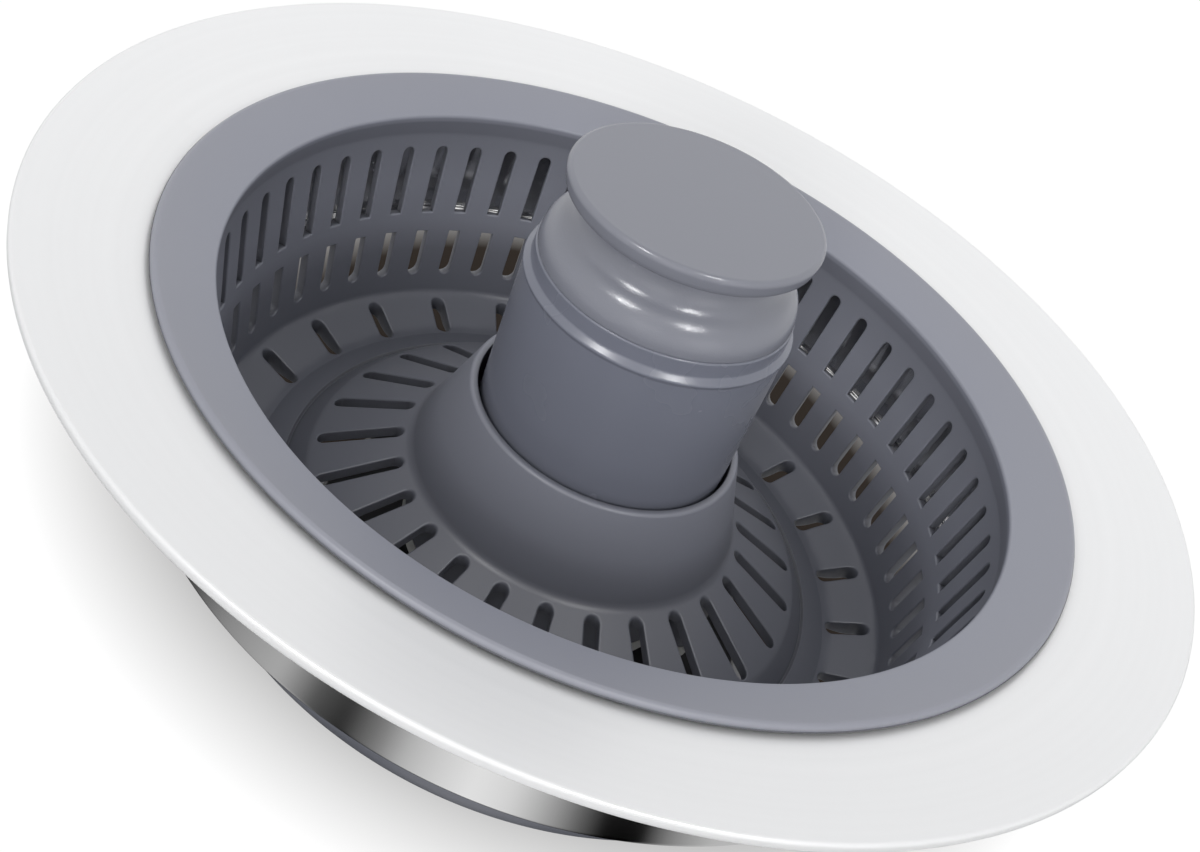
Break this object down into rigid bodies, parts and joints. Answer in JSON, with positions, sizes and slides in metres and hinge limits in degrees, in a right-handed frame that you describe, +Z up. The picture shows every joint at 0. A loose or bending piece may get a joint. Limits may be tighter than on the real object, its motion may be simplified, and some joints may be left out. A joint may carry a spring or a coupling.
{
  "type": "sink strainer",
  "caption": "Pop-up sink strainer: stainless flange with a skirt, lift-out slotted basket, and a push post that works a sprung stopper below.",
  "frame": {"origin": "on the drain's axis, at the height of the sink's face, where the skirt enters the sink's hole", "axes": "+Z up along the drain's axis, out of the sink's hole; X and Y lie in the sink's face"},
  "size_m": [0.11, 0.11, 0.0582],
  "materials": {
    "flange_steel": "satin stainless sheet with faint turning lines",
    "gasket_rubber": "soft black rubber",
    "basket_plastic": "blue-grey moulded plastic with a low sheen",
    "post_plastic": "grey plastic with a soft gloss",
    "knob_plastic": "grey plastic with a soft gloss",
    "core_plastic": "off-white slippery plastic",
    "stopper_plastic": "black moulded plastic",
    "seal_silicone": "grey silicone",
    "plain_steel": "plain stainless steel",
    "insert_brass": "turned brass"
  },
  "bodies": {
    "drain_body": {"drain_flange": "flange_steel", "flange_gasket": "gasket_rubber"},
    "basket_body": {"strainer_basket": "basket_plastic", "core_barrel": "core_plastic", "barrel_screws": "plain_steel", "barrel_cap": "core_plastic", "rod_bush": "core_plastic", "rod_seal": "gasket_rubber", "bush_nut": "core_plastic", "return_spring": "plain_steel"},
    "plunger": {"push_sleeve": "post_plastic", "knob_cap": "knob_plastic", "knob_insert": "insert_brass", "push_rod": "plain_steel", "rod_clips": "plain_steel", "spring_retainer": "plain_steel", "stopper_plate": "stopper_plastic", "stopper_seal": "seal_silicone", "seal_clamp": "plain_steel", "stopper_nut": "plain_steel"},
    "follower": {"cam_follower": "core_plastic", "follower_pins": "plain_steel"}
  },
  "joints": [
    {"name": "basket_lift", "type": "slide", "parent": "drain_body", "child": "basket_body", "axis": [0, 0, 1], "range_m": [0, 0.055]},
    {"name": "knob_push", "type": "slide", "parent": "basket_body", "child": "plunger", "axis": [0, 0, 1], "range_m": [-0.009, 0], "stiffness_N_per_m": 400, "springref_m": 0.01, "deforming": ["return_spring"]},
    {"name": "follower_turn", "type": "hinge", "parent": "plunger", "child": "follower", "pos_m": [0, 0, -0.00455], "axis": [0, 0, 1], "range_deg": [0, 45.5]}
  ],
  "couplings": [
    {"joint": "follower_turn", "follows": "knob_push", "rad_per_m": -87.266}
  ]
}
